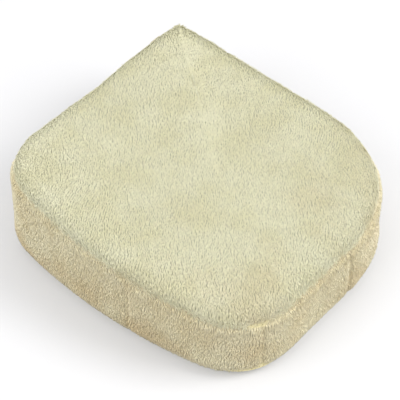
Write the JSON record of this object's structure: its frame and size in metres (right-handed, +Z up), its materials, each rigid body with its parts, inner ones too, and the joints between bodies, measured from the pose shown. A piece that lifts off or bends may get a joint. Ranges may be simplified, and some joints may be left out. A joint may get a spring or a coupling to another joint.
{
  "type": "car wash mitt",
  "caption": "Boxed plush car wash mitt with a foam filling, a lined hand pocket, a rib-knit cuff, a hanging loop and a blank care label, lying on its back panel.",
  "frame": {"origin": "on the underside of the back panel, halfway along the pad and on the centre line of the hand pocket", "axes": "+Z up out of the washing face, +Y towards the cuff end where the hand goes in, +X to the right as seen from the finger end"},
  "size_m": [0.2359, 0.268, 0.0775],
  "materials": {
    "washing_plush": "matte",
    "wall_plush": "matte",
    "thread": "matte",
    "foam": "matte",
    "lining": "matte",
    "rib_knit": "matte",
    "elastic": "matte",
    "woven_tape": "matte",
    "label_satin": "satin"
  },
  "bodies": {
    "mitt": {"top_panel": "washing_plush", "back_panel": "wall_plush", "wall_cuff": "wall_plush", "wall_left": "wall_plush", "wall_front_corner": "wall_plush", "wall_finger_end": "wall_plush", "wall_right": "wall_plush", "wall_joint_threads": "thread", "top_seam_thread": "thread", "bottom_seam_thread": "thread", "foam_slab": "foam", "foam_surround": "foam", "lining_upper": "lining", "lining_lower": "lining", "lining_seam_thread": "thread", "knit_cuff": "rib_knit", "cuff_elastic": "elastic", "cuff_topstitch": "thread", "hang_loop_bartack": "thread", "label_bartack": "thread"},
    "loop": {"hang_loop": "woven_tape"},
    "label": {"care_label": "label_satin"}
  },
  "joints": [
    {"name": "hang_loop_swing", "type": "hinge", "parent": "mitt", "child": "loop", "pos_m": [0.08, 0.1264, 0.0695], "axis": [1, 0, 0], "range_deg": [0, 150]},
    {"name": "care_label_flip", "type": "hinge", "parent": "mitt", "child": "label", "pos_m": [-0.04, 0.1257, 0.0695], "axis": [1, 0, 0], "range_deg": [0, 170]}
  ]
}
